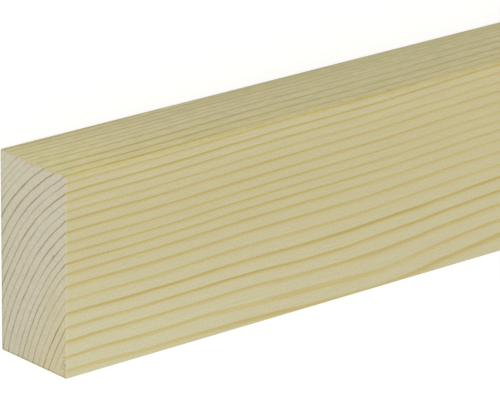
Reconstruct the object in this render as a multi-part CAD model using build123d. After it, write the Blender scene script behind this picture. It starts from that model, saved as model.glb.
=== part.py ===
import os

from build123d import *

# One planed softwood plank, a single piece of stock, lying flat on a wide face.
# X runs along the grain, Y across the width and Z up through the thickness.
# The origin is the middle of the face that it lies on. Sizes are in millimetres.

# Driving dimensions
length = 2400.0  # the shortest length that this section is commonly sold in
width = 98.0  # planed from a 100 mm sawing
thickness = 48.0  # planed from a 50 mm sawing
arris_radius = 1.5  # the planer eases the four long edges and leaves the ends sharp


def planed_section():
    """The plank's cross-section at its near end, standing on Z = 0."""
    near_end = Plane.YZ.offset(-length / 2)
    with BuildSketch(near_end) as section:
        Rectangle(width, thickness, align=(Align.CENTER, Align.MIN))
        fillet(section.vertices(), arris_radius)
    return section.sketch


def plank():
    """The section run along the grain, from one square saw cut to the other."""
    return extrude(planed_section(), amount=length, dir=(1, 0, 0))


os.makedirs("parts", exist_ok=True)
export_step(plank(), "parts/plank.step")
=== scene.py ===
from math import pi, radians

import bpy
import numpy as np
from mathutils import Matrix, Vector


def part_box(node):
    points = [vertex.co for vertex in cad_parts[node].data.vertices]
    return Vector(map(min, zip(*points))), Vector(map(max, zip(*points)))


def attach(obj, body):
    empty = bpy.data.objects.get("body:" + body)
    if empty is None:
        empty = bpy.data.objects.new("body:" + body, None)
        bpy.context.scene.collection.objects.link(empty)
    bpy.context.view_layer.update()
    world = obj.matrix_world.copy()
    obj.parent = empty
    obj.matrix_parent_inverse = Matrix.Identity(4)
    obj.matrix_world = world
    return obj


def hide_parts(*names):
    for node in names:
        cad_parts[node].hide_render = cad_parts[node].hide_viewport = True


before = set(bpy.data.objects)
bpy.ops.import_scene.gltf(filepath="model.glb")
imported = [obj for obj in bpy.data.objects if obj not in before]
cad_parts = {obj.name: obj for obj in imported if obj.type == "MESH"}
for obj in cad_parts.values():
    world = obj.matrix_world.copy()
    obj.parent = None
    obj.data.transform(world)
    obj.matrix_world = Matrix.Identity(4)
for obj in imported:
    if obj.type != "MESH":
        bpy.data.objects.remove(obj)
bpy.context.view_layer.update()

# The plank
# One length of spruce, lying flat. A planer leaves its four long faces and eases the arrises
# between them, and a saw cuts both ends square, which breaks their edges a little.
MM = 0.001
lowest, highest = (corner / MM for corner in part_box("plank"))
length, width, thickness = highest - lowest
worn_arris = 3.0  # the one arris that is rubbed round, between the far edge and the upper face
arris = 0.75  # the other three
arris_step = 0.375
cell = 2.0  # of the mesh, across the flat of a face
close_up = 320.0  # the stretch by each end that has the finer mesh
close_cell, far_cells = 8.0, 110  # how long its cells are, and how many there are beyond it
burr_depth = 0.2  # the ends stand this far inside the torn fibres on their edge
broken_edge = 0.25  # how wide the broken edge of a sawn end is
# The flat map of the surface: the grain changes slowly along the plank, so the long faces are
# one strip that is squeezed lengthways, with both ends beside it at the scale across the grain.
map_along, map_across = 1 / 3, 3.0
map_gap, map_size = 6.0, 972.0


def spaced(size):
    """Grid lines across one side of the section, close together in the arrises."""
    eased = np.arange(0, worn_arris, arris_step)
    count = round((size - 2 * worn_arris) / cell) + 1
    flat = np.linspace(worn_arris, size - worn_arris, count)
    return np.concatenate([eased, flat, size - eased[::-1]])


def section_grid():
    """Points of the whole section as a grid about its middle, drawn in to the arrises' arcs."""
    y, z = np.meshgrid(spaced(width), spaced(thickness), indexing="ij")
    worn = (y > width / 2) & (z > thickness / 2)
    radius = np.where(worn, worn_arris, arris)
    u = np.clip(1 - np.minimum(y, width - y) / radius, 0, 1)
    v = np.clip(1 - np.minimum(z, thickness - z) / radius, 0, 1)
    corner = (u > 0) & (v > 0)
    u_round = np.where(corner, u * np.sqrt(1 - v**2 / 2), u)
    v_round = np.where(corner, v * np.sqrt(1 - u**2 / 2), v)
    y = y + np.where(y < width / 2, 1, -1) * (u - u_round) * radius
    z = z + np.where(z < thickness / 2, 1, -1) * (v - v_round) * radius
    return y - width / 2, z - thickness / 2


def stations():
    """Places along the plank from its near end, close together by the two ends."""
    near = np.array([burr_depth, burr_depth + broken_edge, 1, 2, 4, 7])
    near = np.concatenate([near, np.arange(12, close_up, close_cell)])
    middle = np.linspace(close_up, length - close_up, far_cells + 1)[1:-1]
    return np.concatenate([near, middle, length - near[::-1]])


def plank_mesh():
    """The body as rings of points along the plank, and a grid of faces over each end."""
    y, z = section_grid()
    rows, columns = y.shape
    index = np.arange(rows * columns).reshape(rows, columns)
    around = np.concatenate([index[:, 0], index[-1, 1:], index[-2::-1, -1], index[0, -2:0:-1]])
    y, z = y.ravel(), z.ravel()
    x = stations()
    last = len(x) - 1
    count = len(around)
    fit = [1 - 2 * broken_edge / size for size in (width, thickness)]
    shrink = np.ones((len(x), 2))
    shrink[[0, last]] = fit
    points = [
        np.stack([np.full(count, place), y[around] * by, z[around] * bz], 1)
        for place, (by, bz) in zip(x, shrink, strict=True)
    ]
    here = np.arange(count)
    there = np.roll(here, -1)
    sides = np.hypot(y[around][there] - y[around], z[around][there] - z[around])
    girth = np.concatenate([[0], np.cumsum(sides)])
    faces, flat = [], []
    for i in range(last):
        low, high = i * count, (i + 1) * count
        faces.append(np.stack([low + here, low + there, high + there, high + here], 1))
        on_map = [(x[i], girth[:-1]), (x[i], girth[1:]), (x[i + 1], girth[1:]), (x[i + 1], girth[:-1])]
        on_map = [(np.full(count, place) * map_along, across * map_across) for place, across in on_map]
        flat.append(np.stack([np.stack(corner, 1) for corner in on_map], 1))
    first, second = slice(None, -1), slice(1, None)
    corners = [(first, first), (first, second), (second, second), (second, first)]
    for end in (0, last):
        cap = np.full(rows * columns, -1)
        cap[around] = end * count + here
        inner = np.flatnonzero(cap < 0)
        cap[inner] = sum(len(p) for p in points) + np.arange(len(inner))
        points.append(np.stack([np.full(len(inner), x[end]), y[inner] * fit[0], z[inner] * fit[1]], 1))
        beside = length * map_along + map_gap
        above = 0 if end == 0 else width * map_across + map_gap
        u = beside + (z + thickness / 2) * map_across
        v = above + (y + width / 2) * map_across
        quads, u, v = (
            np.stack([values.reshape(rows, columns)[corner] for corner in corners], -1).reshape(-1, 4)
            for values in (cap, u, v)
        )
        outward = slice(None) if end == 0 else slice(None, None, -1)
        faces.append(quads[:, outward])
        flat.append(np.stack([u, v], -1)[:, outward])
    points = np.concatenate(points) + (lowest.x, 0, lowest.z + thickness / 2)
    mesh = bpy.data.meshes.new("planed_plank")
    mesh.from_pydata((points * MM).tolist(), [], np.concatenate(faces).tolist())
    flat = (np.concatenate(flat).reshape(-1, 2) + map_gap) / map_size
    mesh.uv_layers.new(name="OFBake").uv.foreach_set("vector", flat.astype(np.float32).ravel())
    mesh.shade_smooth()
    mesh.set_sharp_from_angle(angle=radians(40))
    return mesh


plank = bpy.data.objects.new("planed_plank", plank_mesh())
bpy.context.scene.collection.objects.link(plank)


# Planed spruce
# Planing leaves the wood smooth and nearly matt. Growth rings run through the whole piece, so one
# solid pattern colours every face: pale earlywood that darkens outwards to a thin line of
# latewood with a sharp outer edge.
def linear(hex_colour):
    """An sRGB hex colour as the linear colour that Blender works in."""
    shares = [int(hex_colour[i : i + 2], 16) / 255 for i in (1, 3, 5)]
    return [c / 12.92 if c <= 0.04045 else ((c + 0.055) / 1.055) ** 2.4 for c in shares] + [1.0]


def add(tree, kind, links=None, output=0, **settings):
    """Adds a node with its settings, links or sets its inputs, and returns one of its outputs."""
    made = tree.nodes.new(kind)
    for name, value in settings.items():
        setattr(made, name, value)
    for socket, value in (links or {}).items():
        if isinstance(value, bpy.types.NodeSocket):
            tree.links.new(value, made.inputs[socket])
        else:
            made.inputs[socket].default_value = value
    return made.outputs[output] if made.outputs else None


spruce = bpy.data.materials.new("planed_spruce")
spruce.use_nodes = True
tree = spruce.node_tree
tree.nodes.clear()

# Places in millimetres, along the plank from its near end and across it from the heart.
place = add(tree, "ShaderNodeTexCoord", output="Object")
place = add(tree, "ShaderNodeVectorMath", {0: place, "Scale": 1 / MM}, operation="SCALE")
x, y, z = add(tree, "ShaderNodeSeparateXYZ", {0: place}).node.outputs
along = add(tree, "ShaderNodeMath", {0: x, 1: length / 2}, operation="ADD")
heart = (0.0, -99.0, 148.0)
from_heart = add(tree, "ShaderNodeVectorMath", {0: place, 1: heart}, operation="SUBTRACT")
from_heart = add(tree, "ShaderNodeVectorMath", {0: from_heart, 1: (0, 1, 1)}, operation="MULTIPLY")
radius = add(tree, "ShaderNodeVectorMath", {0: from_heart}, output="Value", operation="LENGTH")

# The trunk sweeps, so the rings run off the faces at about 1 in 50, with a slight ripple: how far
# each of the two waves swings, over what length, and where it starts.
run_off = 5.91
for swing, wave_length, wave_start in ((6.53, 1600.0, 288.3), (0.24, 139.2, 83.4)):
    turn = 2 * pi / wave_length
    wave = {0: along, 1: turn, 2: -wave_start * turn}
    wave = add(tree, "ShaderNodeMath", wave, operation="MULTIPLY_ADD")
    wave = add(tree, "ShaderNodeMath", {0: wave}, operation="SINE")
    run_off = add(tree, "ShaderNodeMath", {0: wave, 1: swing, 2: run_off}, operation="MULTIPLY_ADD")
ring_radius = add(tree, "ShaderNodeMath", {0: radius, 1: run_off}, operation="SUBTRACT")


def soft_spot(*spans):
    """A spot that is 1 in its middle and fades out: each span is a coordinate, middle and reach."""
    far = 0.0
    for coordinate, middle, reach in spans:
        off = {0: coordinate, 1: 1 / reach, 2: -middle / reach}
        off = add(tree, "ShaderNodeMath", off, operation="MULTIPLY_ADD")
        far = add(tree, "ShaderNodeMath", {0: off, 1: off, 2: far}, operation="MULTIPLY_ADD")
    far = add(tree, "ShaderNodeMath", {0: far, 1: -1.0}, operation="MULTIPLY")
    return add(tree, "ShaderNodeMath", {0: far}, operation="EXPONENT")


# The grain dips towards the heart beside a knot that lies outside the plank.
dip_size = 8.26
dip = soft_spot((along, 227.3, 202.0), (radius, 98.4, 28.7))
ring_radius = add(tree, "ShaderNodeMath", {0: dip, 1: dip_size, 2: ring_radius}, operation="MULTIPLY_ADD")

# A crook in the inner rings, out and back over a tenth of a metre.
crook_middle, crook_reach, crook_size = 111.8, 53.3, 0.97
crook = soft_spot((along, crook_middle, crook_reach), (radius, 125.5, 14.0))
crook_slope = crook_size / crook_reach
past = {0: along, 1: crook_slope, 2: -crook_middle * crook_slope}
past = add(tree, "ShaderNodeMath", past, operation="MULTIPLY_ADD")
ring_radius = add(tree, "ShaderNodeMath", {0: crook, 1: past, 2: ring_radius}, operation="MULTIPLY_ADD")

# The trunk isn't quite round: away from the upper face and the far edge the rings bulge.
bulge_curve, bulge_slope, bulge_foot = 2.84, 3.11, 1.56
down = add(tree, "ShaderNodeMath", {0: z, 1: -1 / thickness, 2: 1.0}, operation="MULTIPLY_ADD")
aside = add(tree, "ShaderNodeMath", {0: y, 1: -1 / width, 2: 0.5}, operation="MULTIPLY_ADD")
bulge = add(tree, "ShaderNodeMath", {0: aside, 1: bulge_curve, 2: bulge_slope}, operation="MULTIPLY_ADD")
bulge = add(tree, "ShaderNodeMath", {0: bulge, 1: aside, 2: bulge_foot}, operation="MULTIPLY_ADD")
bulge = add(tree, "ShaderNodeMath", {0: down, 1: -bulge_foot, 2: bulge}, operation="MULTIPLY_ADD")
ring_radius = add(tree, "ShaderNodeMath", {0: bulge, 1: down, 2: ring_radius}, operation="MULTIPLY_ADD")

# Small swellings and hollows: how far each moves the rings inwards, and its middle and reach
# along, across and up.
swellings = [
    (-0.75, (0, 30), (25, 14), (11, 16)), (0.6, (0, 60), (-8, 11), (15, 18)),
    (-0.65, (0, 30), (-45, 9), (31, 14)), (-0.45, (0, 30), (-44, 9), (9, 8)),
    (0.55, (0, 12), (43, 12), (44, 12)), (0.85, (25, 60), (50, 6), (29, 14)),
    (0.55, (0, 18), (-39, 8), (48, 5)), (0.7, (190, 22), (-39, 7), (48, 15)),
    (0.25, (0, 10), (-5, 60), (48, 6)), (0.35, (70, 20), (-15, 8), (48, 20)),
    (0.5, (208, 32), (-51, 11), (48, 20)),
]
for amount, *spans in swellings:
    spot = soft_spot(*[(axis, *span) for axis, span in zip((along, y, z), spans, strict=True)])
    ring_radius = add(tree, "ShaderNodeMath", {0: spot, 1: amount, 2: ring_radius}, operation="MULTIPLY_ADD")

# Small local wobble everywhere, and a slow wander further along the board.
wobble_size, wander_size = 0.7, 14.0
wobble = add(tree, "ShaderNodeVectorMath", {0: place, 1: (1 / 40, 1 / 9, 1 / 9)}, operation="MULTIPLY")
wobble = add(tree, "ShaderNodeTexNoise", {"Vector": wobble, "Scale": 1.0, "Detail": 1.0})
wobble = {0: wobble, 1: wobble_size, 2: -wobble_size / 2}
wobble = add(tree, "ShaderNodeMath", wobble, operation="MULTIPLY_ADD")
wander = add(tree, "ShaderNodeVectorMath", {0: place, 1: (1 / 330, 1 / 80, 1 / 80)}, operation="MULTIPLY")
wander = add(tree, "ShaderNodeTexNoise", {"Vector": wander, "Scale": 1.0, "Detail": 1.0})
wander = {0: wander, 1: wander_size, 2: -wander_size / 2}
wander = add(tree, "ShaderNodeMath", wander, operation="MULTIPLY_ADD")
further = {"Value": along, 1: close_up, 2: 900.0}
further = add(tree, "ShaderNodeMapRange", further, interpolation_type="SMOOTHSTEP")
wobble = add(tree, "ShaderNodeMath", {0: wander, 1: further, 2: wobble}, operation="MULTIPLY_ADD")
ring_radius = add(tree, "ShaderNodeMath", {0: ring_radius, 1: wobble}, operation="ADD")

# Each year's growth in millimetres and how dark its latewood is, outwards from the first
# ring that the plank holds. Wet years grow wide and dry ones narrow.
first_ring = 89.3
growth = [
    (3.8, 0.6), (3.8, 0.5), (3.7, 0.6), (4.0, 0.5), (3.9, 0.6), (3.8, 0.6), (3.8, 0.6),
    (3.2, 0.6), (3.6, 0.6), (3.4, 0.8), (3.9, 0.9), (3.9, 0.5), (4.4, 0.65), (4.2, 0.6),
    (3.5, 0.75), (3.4, 0.65), (3.6, 0.6), (4.1, 0.7), (4.3, 0.75), (3.5, 0.5), (3.9, 0.6),
    (3.4, 0.95), (3.7, 0.55), (3.3, 0.75), (4.4, 0.75), (4.7, 0.75), (4.4, 0.55), (2.5, 0.5),
    (2.4, 0.6), (2.8, 0.7), (2.3, 0.35), (2.3, 0.7), (2.7, 0.7), (4.0, 0.5), (3.8, 0.4),
    (4.1, 0.6), (3.9, 0.5), (3.9, 0.6),
]
years = len(growth)
grown = sum(wide for wide, dark in growth)
share = {0: ring_radius, 1: 1 / grown, 2: -first_ring / grown}
share = add(tree, "ShaderNodeMath", share, operation="MULTIPLY_ADD")
age = add(tree, "ShaderNodeFloatCurve", {"Value": share})
age_points = [(0.0, 0.0)]
for number, (wide, dark) in enumerate(growth, 1):
    age_points.append((age_points[-1][0] + wide / grown, number / years))
age_in_years = add(tree, "ShaderNodeMath", {0: age, 1: float(years)}, operation="MULTIPLY")
season = add(tree, "ShaderNodeMath", {0: age_in_years}, operation="FRACT")
year = add(tree, "ShaderNodeMath", {0: age_in_years}, operation="FLOOR")
mid_year = add(tree, "ShaderNodeMath", {0: year, 1: 1 / years, 2: 0.5 / years}, operation="MULTIPLY_ADD")
darkness = add(tree, "ShaderNodeFloatCurve", {"Value": mid_year})
dark_points = [((number + 0.5) / years, dark) for number, (wide, dark) in enumerate(growth)]
for output, points in ((age, age_points), (darkness, dark_points)):
    curve = output.node.mapping
    for extra in points[2:]:  # a new curve has two points already
        curve.curves[0].points.new(*extra)
    for point, at in zip(curve.curves[0].points, points, strict=True):
        point.location = at
        point.handle_type = "VECTOR"
    curve.update()

# The latewood of one year is stronger in some stretches than in others.
patchy = add(tree, "ShaderNodeVectorMath", {0: place, 1: (1 / 70, 1 / 16, 1 / 16)}, operation="MULTIPLY")
year_offset = add(tree, "ShaderNodeMath", {0: year, 1: 3.7}, operation="MULTIPLY")
patchy = {"Vector": patchy, "W": year_offset, "Scale": 1.0, "Detail": 2.0}
patchy = add(tree, "ShaderNodeTexNoise", patchy, noise_dimensions="4D")
patchy = add(tree, "ShaderNodeMapRange", {"Value": patchy, 1: 0.3, 2: 0.7, 3: 0.7, 4: 1.25}, clamp=False)
darkness = add(tree, "ShaderNodeMath", {0: darkness, 1: patchy}, operation="MULTIPLY")

# Which way the surface faces tells the sawn ends, the far edge and the arrises apart.
facing = add(tree, "ShaderNodeTexCoord", output="Normal")
facing = add(tree, "ShaderNodeVectorMath", {0: facing}, operation="ABSOLUTE")
endward, sideward, upward = add(tree, "ShaderNodeSeparateXYZ", {0: facing}).node.outputs
sawn = add(tree, "ShaderNodeMath", {0: endward, 1: 0.8}, operation="GREATER_THAN")
on_narrow_face = add(tree, "ShaderNodeMapRange", {"Value": sideward, 1: 0.5, 2: 0.9})
on_far_half = add(tree, "ShaderNodeMath", {0: y, 1: 0.0}, operation="GREATER_THAN")
far_edge = add(tree, "ShaderNodeMath", {0: on_narrow_face, 1: on_far_half}, operation="MULTIPLY")
on_arris = add(tree, "ShaderNodeMath", {0: sideward, 1: upward}, operation="MULTIPLY")

# How dark the wood is over one year. Along the faces the latewood fades in over a third of the
# ring. On a sawn end it is a thin line.
face_band = add(tree, "ShaderNodeValToRGB", {0: season})
face_stops = [
    (0.0, 0.35), (0.03, 0.0), (0.5, 0.0), (0.64, 0.1), (0.73, 0.35),
    (0.8, 0.7), (0.87, 1.0), (0.97, 1.0), (1.0, 0.7),
]
end_band = add(tree, "ShaderNodeValToRGB", {0: season})
end_stops = [
    (0.0, 0.3), (0.03, 0.05), (0.08, 0.0), (0.7, 0.0), (0.82, 0.2),
    (0.88, 0.7), (0.92, 1.0), (0.98, 1.0), (1.0, 0.6),
]
for band, stops in ((face_band, face_stops), (end_band, end_stops)):
    ramp = band.node.color_ramp
    while len(ramp.elements) < len(stops):
        ramp.elements.new(0.5)
    for element, (position, value) in zip(ramp.elements, stops, strict=True):
        element.position = position
        element.color = (value, value, value, 1)
face_late = add(tree, "ShaderNodeMath", {0: darkness, 1: 0.75, 2: 0.17}, operation="MULTIPLY_ADD")
face_late = add(tree, "ShaderNodeMath", {0: face_band, 1: face_late}, operation="MULTIPLY")
end_late = add(tree, "ShaderNodeMath", {0: darkness, 1: 1.6, 2: -0.4}, operation="MULTIPLY_ADD")
end_late = add(tree, "ShaderNodeMath", {0: end_band, 1: end_late}, operation="MULTIPLY")

# The far edge shows its lines best near the end and hardly at all in one stretch of its foot, and
# on the upper face the lines of some rings are faint for a stretch.
edge_lines = add(tree, "ShaderNodeMapRange", {"Value": along, 1: 60.0, 2: 200.0, 3: 0.3, 4: 0.05})
worn_foot = soft_spot((z, 2.0, 20.0), (along, 230.0, 90.0))
edge_lines = add(tree, "ShaderNodeMath", {0: worn_foot, 1: -0.45, 2: edge_lines}, operation="MULTIPLY_ADD")
all_lines = add(tree, "ShaderNodeMath", {0: edge_lines, 1: far_edge, 2: 1.0}, operation="MULTIPLY_ADD")
faint = soft_spot((along, 245.0, 60.0), (ring_radius, 151.0, 14.0))
all_lines = add(tree, "ShaderNodeMath", {0: faint, 1: -0.35, 2: all_lines}, operation="MULTIPLY_ADD")
face_late = add(tree, "ShaderNodeMath", {0: face_late, 1: all_lines}, operation="MULTIPLY")

# One dry spell made a false ring: for a stretch the latewood of that year is split in two.
dry_year = 7
dry_stretch = (along, 145.0, 65.0)
split = soft_spot(dry_stretch, (age_in_years, dry_year + 0.9, 0.1))
split = add(tree, "ShaderNodeMath", {0: split, 1: -0.35, 2: 1.0}, operation="MULTIPLY_ADD")
face_late = add(tree, "ShaderNodeMath", {0: face_late, 1: split}, operation="MULTIPLY")
false_ring = soft_spot(dry_stretch, (age_in_years, dry_year + 0.73, 0.05))
face_late = add(tree, "ShaderNodeMath", {0: false_ring, 1: 0.3, 2: face_late}, operation="MULTIPLY_ADD")

# The saw closed the pores of the innermost and outermost rings on the end, and the lines there
# hardly show, nor do they in a tan patch among the inner rings.
tan = soft_spot((y, -16.2, 9.0), (z, 36.7, 4.5))
open_pores = add(tree, "ShaderNodeMath", {0: tan, 1: -0.75, 2: 1.0}, operation="MULTIPLY_ADD")
for clear_at, closed_at, left in ((125.0, 121.0, 0.25), (198.0, 203.0, 0.45)):
    clear = {"Value": ring_radius, 1: clear_at, 2: closed_at, 3: 1.0, 4: left}
    clear = add(tree, "ShaderNodeMapRange", clear, interpolation_type="SMOOTHSTEP")
    open_pores = add(tree, "ShaderNodeMath", {0: open_pores, 1: clear}, operation="MULTIPLY")
end_late = add(tree, "ShaderNodeMath", {0: end_late, 1: open_pores}, operation="MULTIPLY")

face_colour = add(tree, "ShaderNodeValToRGB", {0: face_late})
face_colours = [(0.0, "#CBC298"), (0.4, "#C9BA81"), (1.0, "#B9A252")]
end_colour = add(tree, "ShaderNodeValToRGB", {0: end_late})
end_colours = [(0.0, "#D0CAB2"), (0.5, "#B7A887"), (1.0, "#977E4E")]
for colour, stops in ((face_colour, face_colours), (end_colour, end_colours)):
    ramp = colour.node.color_ramp
    ramp.elements.new(0.5)
    for element, (position, shade) in zip(ramp.elements, stops, strict=True):
        element.position = position
        element.color = linear(shade)

# Fibres streak the long faces. A real one is 0.03 mm across, too fine to show, so they are drawn
# in bundles of 0.6 mm. Sockets 7 and 8 spread the middle half of a noise over the tints 9 and 10.
middle_half = {7: (0.25,) * 3, 8: (0.75,) * 3}
fibre = add(tree, "ShaderNodeVectorMath", {0: place, 1: (1 / 30, 1 / 0.6, 1 / 0.6)}, operation="MULTIPLY")
fibre = add(tree, "ShaderNodeTexNoise", {"Vector": fibre, "Scale": 1.0, "Detail": 3.0, "Roughness": 0.6})
fibre_tint = add(
    tree, "ShaderNodeMapRange",
    {"Vector": fibre, **middle_half, 9: (0.925, 0.935, 0.925), 10: (1.075, 1.065, 1.075)},
    output="Vector", data_type="FLOAT_VECTOR", clamp=False,
)
face_colour = add(tree, "ShaderNodeVectorMath", {0: face_colour, 1: fibre_tint}, operation="MULTIPLY")

# Grey flecks 1 mm across on all long faces, and on the narrow ones longer streaks besides.
fleck_depth = 0.33
fleck = add(tree, "ShaderNodeTexNoise", {"Vector": place, "Scale": 1.0, "Detail": 2.0, "Roughness": 0.6})
fleck = {0: fleck, 1: fleck_depth, 2: 1 - 0.5 * fleck_depth}
fleck = add(tree, "ShaderNodeMath", fleck, operation="MULTIPLY_ADD")
face_colour = add(tree, "ShaderNodeVectorMath", {0: face_colour, "Scale": fleck}, operation="SCALE")
streak = add(tree, "ShaderNodeVectorMath", {0: place, 1: (1 / 7, 1 / 1.5, 1 / 1.5)}, operation="MULTIPLY")
streak = add(tree, "ShaderNodeTexNoise", {"Vector": streak, "Scale": 1.0, "Detail": 3.0, "Roughness": 0.65})
streak_tint = add(
    tree, "ShaderNodeMapRange",
    {"Vector": streak, **middle_half, 9: (0.87, 0.88, 0.89), 10: (1.13, 1.12, 1.11)},
    output="Vector", data_type="FLOAT_VECTOR", clamp=False,
)
face_colour = add(
    tree, "ShaderNodeMix", {"Factor": on_narrow_face, 6: face_colour, 7: streak_tint},
    output=2, data_type="RGBA", blend_type="MULTIPLY",
)

# The colour drifts over the board: paler by the near end in the inner rings, and yellower outside
# them. A yellow tint in patches along all arrises is a painted glow of light on their rounding, and
# the lower arrises, which lie by the floor, carry painted shade besides.
pale = soft_spot((ring_radius, 112.0, 24.0), (along, 0.0, 130.0))
mellow = soft_spot((ring_radius, 153.0, 24.0), (along, 130.0, 160.0))
deep = soft_spot((along, 265.0, 60.0), (ring_radius, 155.0, 20.0))
patches = add(tree, "ShaderNodeTexNoise", {"Vector": place, "Scale": 1 / 12, "Detail": 2.0})
patches = add(tree, "ShaderNodeMapRange", {"Value": patches, 1: 0.35, 2: 0.6})
arrises = add(tree, "ShaderNodeMapRange", {"Value": on_arris, 1: 0.15, 2: 0.4})
# Painted highlight: yellow patches along the arrises stand for the glow of light on them.
painted_arris_glow = add(tree, "ShaderNodeMath", {0: arrises, 1: patches}, operation="MULTIPLY")
under = add(tree, "ShaderNodeMath", {0: z, 1: thickness / 2}, operation="LESS_THAN")
# Painted shade along the lower arrises, by the floor.
painted_arris_shade = add(tree, "ShaderNodeMath", {0: arrises, 1: under}, operation="MULTIPLY")
lip = add(tree, "ShaderNodeMapRange", {"Value": along, 1: 1.4, 2: 0.6})
face_tints = [
    (pale, (1.055, 1.08, 1.165)), (mellow, (0.967, 0.952, 0.89)), (deep, (1.0, 0.98, 0.94)),
    (painted_arris_glow, (1.0, 0.96, 0.76)), (painted_arris_shade, (0.82, 0.82, 0.72)), (lip, (1.04, 1.04, 1.08)),
]

# The far edge carries painted light by the near end and painted shade further on and along its
# foot, as a lamp by the near end would leave it, and it is honey yellow towards the upper face.
# Painted light by the near end, painted shade further on and along the foot of the far edge.
painted_light_near_end = soft_spot((along, 0.0, 70.0), (z, 40.0, 40.0))
painted_shade_further_on = {"Value": along, 1: 40.0, 2: 230.0}
painted_shade_further_on = add(tree, "ShaderNodeMapRange", painted_shade_further_on, interpolation_type="SMOOTHSTEP")
painted_shade_at_foot = soft_spot((z, 0.0, 12.0), (along, 180.0, 140.0))
honeyed = soft_spot((z, 46.0, 15.0), (along, 90.0, 100.0))
edge_tints = [
    (painted_light_near_end, (1.095, 1.1, 1.0)), (painted_shade_further_on, (0.935, 0.94, 0.855)),
    (painted_shade_at_foot, (0.935, 0.935, 0.86)), (honeyed, (0.98, 0.97, 0.84)),
]
for mask, tint in edge_tints:
    mask = add(tree, "ShaderNodeMath", {0: mask, 1: far_edge}, operation="MULTIPLY")
    face_tints.append((mask, tint))

# The cut ends of the fibres make a fine speckle on the ends, and rays run across the rings. In
# real wood both are more than ten times finer: they are drawn as coarse as they need to show.
speckle_size = 0.5
speckle = {"Vector": place, "Scale": 1 / speckle_size, "Detail": 2.0, "Roughness": 0.6}
speckle = add(tree, "ShaderNodeTexNoise", speckle)
speckle_tint = add(
    tree, "ShaderNodeMapRange",
    {"Vector": speckle, **middle_half, 9: (0.84, 0.84, 0.82), 10: (1.16, 1.16, 1.18)},
    output="Vector", data_type="FLOAT_VECTOR", clamp=False,
)
end_colour = add(tree, "ShaderNodeVectorMath", {0: end_colour, 1: speckle_tint}, operation="MULTIPLY")
heart_y, heart_z = add(tree, "ShaderNodeSeparateXYZ", {0: from_heart}).node.outputs[1:]
bearing = add(tree, "ShaderNodeMath", {0: heart_z, 1: heart_y}, operation="ARCTAN2")
ray_width, ray_length, ray_radius = 0.6, 6.0, 155.0
rays_across = add(tree, "ShaderNodeMath", {0: bearing, 1: ray_radius / ray_width}, operation="MULTIPLY")
rays_outward = add(tree, "ShaderNodeMath", {0: radius, 1: 1 / ray_length}, operation="MULTIPLY")
rays = add(tree, "ShaderNodeCombineXYZ", {0: rays_across, 1: rays_outward})
rays = add(tree, "ShaderNodeTexNoise", {"Vector": rays, "Scale": 1.0, "Detail": 1.0})
rays = add(tree, "ShaderNodeMapRange", {"Value": rays, 1: 0.3, 2: 0.7, 3: 0.96, 4: 1.04}, clamp=False)
end_colour = add(tree, "ShaderNodeVectorMath", {0: end_colour, "Scale": rays}, operation="SCALE")

# On the near end: wood that yellows towards the heart, a fleck of resin and a tan patch that both
# lie along the rings, a bleached lower corner, a dull patch, dark spots of painted shade as in small
# pits by the edge that the saw entered, a darker line along that edge, and painted shade along the foot.
by_near_end = add(tree, "ShaderNodeMath", {0: along, 1: 6.0}, operation="LESS_THAN")
inner = {"Value": ring_radius, 1: 155.0, 2: 115.0}
inner = add(tree, "ShaderNodeMapRange", inner, interpolation_type="SMOOTHSTEP")
resin = soft_spot((bearing, -0.797, 0.008), (radius, 152.8, 0.5))
bleached = soft_spot((y, 42.0, 26.0), (z, 2.0, 13.0))
dull = soft_spot((y, -46.0, 11.0), (z, 20.0, 13.0))
# A darker line along the near edge.
near_edge_line = add(tree, "ShaderNodeMapRange", {"Value": y, 1: 1.4 - width / 2, 2: 0.6 - width / 2})
# Painted shade along the foot of the end, away from the far corner.
shaded = add(tree, "ShaderNodeMapRange", {"Value": z, 1: 1.6, 2: 0.6})
off_corner = add(tree, "ShaderNodeMapRange", {"Value": y, 1: 36.0, 2: 24.0})
shaded = add(tree, "ShaderNodeMath", {0: shaded, 1: off_corner}, operation="MULTIPLY")
# Painted shade: dark spots by the upper corner stand for the shade inside small pits.
pit_size = 1.1
pits = add(tree, "ShaderNodeTexNoise", {"Vector": place, "Scale": 1 / pit_size, "Detail": 0.0})
pits = add(tree, "ShaderNodeMapRange", {"Value": pits, 1: 0.44, 2: 0.54})
painted_pit_shade = soft_spot((y, -42.5, 5.0), (z, 46.6, 1.3))
painted_pit_shade = add(tree, "ShaderNodeMath", {0: painted_pit_shade, 1: pits}, operation="MULTIPLY")
end_tints = [
    (inner, (1.025, 0.985, 0.8)), (resin, (0.7, 0.6, 0.42)), (tan, (0.965, 0.945, 0.87)),
    (bleached, (1.03, 1.045, 1.055)), (dull, (0.955, 0.955, 0.905)),
    (near_edge_line, (0.78, 0.77, 0.67)), (shaded, (0.88, 0.9, 0.8)), (painted_pit_shade, (0.66, 0.59, 0.4)),
]
for mask, tint in end_tints:
    mask = add(tree, "ShaderNodeMath", {0: mask, 1: by_near_end}, operation="MULTIPLY")
    end_colour = add(
        tree, "ShaderNodeMix", {"Factor": mask, 6: end_colour, 7: (*tint, 1)},
        output=2, data_type="RGBA", blend_type="MULTIPLY",
    )
for mask, tint in face_tints:
    face_colour = add(
        tree, "ShaderNodeMix", {"Factor": mask, 6: face_colour, 7: (*tint, 1)},
        output=2, data_type="RGBA", blend_type="MULTIPLY",
    )
colour = {"Factor": sawn, 6: face_colour, 7: end_colour}
colour = add(tree, "ShaderNodeMix", colour, output=2, data_type="RGBA")

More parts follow.
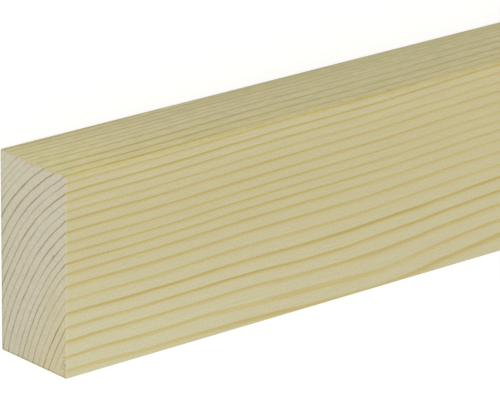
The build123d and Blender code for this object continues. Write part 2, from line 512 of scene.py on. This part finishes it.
# The planer leaves the hard latewood 0.03 mm proud, and the saw tears a rougher end.
proud = 0.03 * MM
relief = add(tree, "ShaderNodeMath", {0: face_late, 1: fibre}, operation="ADD")
torn = add(tree, "ShaderNodeMath", {0: speckle, 1: 3.0}, operation="MULTIPLY")
relief = add(tree, "ShaderNodeMix", {"Factor": sawn, 2: relief, 3: torn})
bump = add(tree, "ShaderNodeBump", {"Height": relief, "Distance": proud})
roughness = add(tree, "ShaderNodeMapRange", {"Value": sawn, 3: 0.55, 4: 0.75})
surface = {"Base Color": colour, "Roughness": roughness, "IOR": 1.5, "Normal": bump}
surface = add(tree, "ShaderNodeBsdfPrincipled", surface)
add(tree, "ShaderNodeOutputMaterial", {"Surface": surface})

plank.data.materials.append(spruce)
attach(plank, "root")
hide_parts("plank")

# Torn fibres
# The saw left the wood through the far edge and tore up its last fibres. They hang over the
# edge of each end as short slivers, in clumps, and are yellower than the sawn wood.
sliver_gap, sliver_depth = 0.35, 0.55
# The middle and reach of each clump up the edge, and how much deeper its slivers hang.
clumps = [(11.0, 7.0, 0.35), (23.5, 5.5, 1.2), (37.0, 4.5, 1.5)]


def sliver_mesh():
    """Closed slivers, each four sections of four corners from its root down to its tip."""
    chance = np.random.default_rng(5)
    points, faces = [], []
    for end in (-1, 1):
        for z in np.arange(1.0, thickness - 1.0, sliver_gap):
            z = z + chance.uniform(-0.2, 0.2)
            deeper = [more * np.exp(-(((z - middle) / reach) ** 2)) for middle, reach, more in clumps]
            depth = (sliver_depth + sum(deeper)) * chance.uniform(0.35, 1.35)
            wide = chance.uniform(0.25, 0.6)
            lean = chance.uniform(-0.3, 0.3)
            inner = length / 2 - burr_depth
            outer = length / 2 - chance.uniform(0.0, 0.5) * burr_depth
            first = len(points)
            # Where each section starts and stops along the plank, and its share of depth and width.
            sections = [
                (inner - 0.5, inner - 0.35, 0.02, 1.0), (outer - 0.15, outer, 0.05, 1.0),
                (inner - 0.05, outer, 0.55, 0.9), (inner - 0.05, inner + 0.05, 1.0, 0.3),
            ]
            for low, high, share, fullness in sections:
                middle = z + lean * share * depth
                drop = 0.04 + share * depth
                for x, side in ((low, -1), (low, 1), (high, 1), (high, -1)):
                    points.append((end * x, width / 2 - drop, middle + side * wide * fullness / 2))
            # The corners run the other way round on the far end, so that all faces look outwards.
            rims = [[first + 4 * i + k for k in range(4)][::-end] for i in range(len(sections))]
            for near, far in zip(rims, rims[1:]):
                faces += [[near[k], near[(k + 1) % 4], far[(k + 1) % 4], far[k]] for k in range(4)]
            faces += [rims[0][::-1], rims[-1]]
    mesh = bpy.data.meshes.new("torn_fibres")
    mesh.from_pydata((np.array(points) * MM).tolist(), [], faces)
    return mesh


fibres = bpy.data.objects.new("torn_fibres", sliver_mesh())
bpy.context.scene.collection.objects.link(fibres)

# Torn softwood fibre is dull and shows the pale inside of the wood, straw yellow where it folds.
straw = bpy.data.materials.new("torn_softwood_fibre")
straw.use_nodes = True
tree = straw.node_tree
tree.nodes.clear()
place = add(tree, "ShaderNodeTexCoord", output="Object")
strand = add(tree, "ShaderNodeTexNoise", {"Vector": place, "Scale": 0.7 / MM, "Detail": 2.0})
colour = add(tree, "ShaderNodeValToRGB", {0: strand})
stops = [(0.35, "#CDBF84"), (0.65, "#DAD2A6")]
for element, (position, shade) in zip(colour.node.color_ramp.elements, stops, strict=True):
    element.position = position
    element.color = linear(shade)
surface = add(tree, "ShaderNodeBsdfPrincipled", {"Base Color": colour, "Roughness": 0.8, "IOR": 1.5})
add(tree, "ShaderNodeOutputMaterial", {"Surface": surface})
fibres.data.materials.append(straw)
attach(fibres, "root")

# The floor
# A sheet of white paper that runs far out on all sides. It lies a hair below the plank, so that
# the two surfaces never share a plane.
floor_reach, floor_drop = 80.0, -0.2 * MM
corners = [(x * floor_reach, y * floor_reach, floor_drop) for x, y in ((-1, -1), (1, -1), (1, 1), (-1, 1))]
floor_mesh = bpy.data.meshes.new("floor")
floor_mesh.from_pydata(corners, [], [(0, 1, 2, 3)])
floor = bpy.data.objects.new("floor", floor_mesh)
bpy.context.scene.collection.objects.link(floor)

# Paper is matt and even. Where it is seen, also in a reflection or through glass, a glow lifts it
# to white while it keeps the plank's shadow. To all other light it is plain and pale.
paper = bpy.data.materials.new("white_paper")
paper.use_nodes = True
tree = paper.node_tree
tree.nodes.clear()
light = add(tree, "ShaderNodeLightPath").node.outputs
seen = {0: light["Is Camera Ray"], 1: light["Is Glossy Ray"]}
seen = add(tree, "ShaderNodeMath", seen, operation="MAXIMUM")
seen = add(tree, "ShaderNodeMath", {0: seen, 1: light["Is Transmission Ray"]}, operation="MAXIMUM")
matt = add(tree, "ShaderNodeBsdfDiffuse", {"Color": linear("#E6E6E6")})
shaded = add(tree, "ShaderNodeBsdfDiffuse", {"Color": linear("#A0A0A0")})
glow = add(tree, "ShaderNodeEmission", {"Color": linear("#FFFFFF"), "Strength": 0.72})
shown = add(tree, "ShaderNodeAddShader", {0: shaded, 1: glow})
surface = add(tree, "ShaderNodeMixShader", {0: seen, 1: matt, 2: shown})
add(tree, "ShaderNodeOutputMaterial", {"Surface": surface})
floor_mesh.materials.append(paper)

# The light
# A plain room with soft white light from all round, and a softbox two metres across above the
# near end, which leaves the far edge a little darker than the upper face and the sawn end.
world = bpy.data.worlds.new("studio")
bpy.context.scene.world = world
world.use_nodes = True
tree = world.node_tree
tree.nodes.clear()
room_light = 0.8
light = add(tree, "ShaderNodeLightPath").node.outputs
strength = {0: light["Is Camera Ray"], 1: 1 - room_light, 2: room_light}
strength = add(tree, "ShaderNodeMath", strength, operation="MULTIPLY_ADD")
sky = add(tree, "ShaderNodeBackground", {"Color": linear("#FFFFFF"), "Strength": strength})
add(tree, "ShaderNodeOutputWorld", {"Surface": sky})

lamp = bpy.data.lights.new("softbox", "AREA")
lamp.shape = "DISK"
lamp.size = 2.0
lamp.energy = 20.0
softbox = bpy.data.objects.new("softbox", lamp)
near_end = Vector((lowest.x * MM, 0, 0))
softbox.location = near_end + Vector((-1.6, 0.6, 2.4))
softbox.rotation_euler = (near_end - softbox.location).to_track_quat("-Z", "Y").to_euler()
bpy.context.scene.collection.objects.link(softbox)

# The camera
# A long lens two metres from the near end. Its place is in millimetres from a low corner of that
# end while the plank stands on edge, and it is laid flat together with the plank.
eye = Vector((-1197.2, -1522.7, 771.0))
yaw, pitch, roll = radians(40.621), radians(19.455), radians(0.624)
aim = Matrix.Rotation(-yaw, 4, "Z") @ Matrix.Rotation(pi / 2 - pitch, 4, "X") @ Matrix.Rotation(roll, 4, "Z")
lay_flat = Matrix(((1, 0, 0, lowest.x), (0, 0, 1, lowest.y), (0, -1, 0, highest.z), (0, 0, 0, 1)))
pose = lay_flat @ Matrix.Translation(eye) @ aim
pose.translation *= MM
lens = bpy.data.cameras.new("camera")
lens.lens = 330
camera = bpy.data.objects.new("camera", lens)
camera.matrix_world = pose
bpy.context.scene.collection.objects.link(camera)
bpy.context.scene.camera = camera
bpy.context.scene.view_settings.view_transform = "Standard"
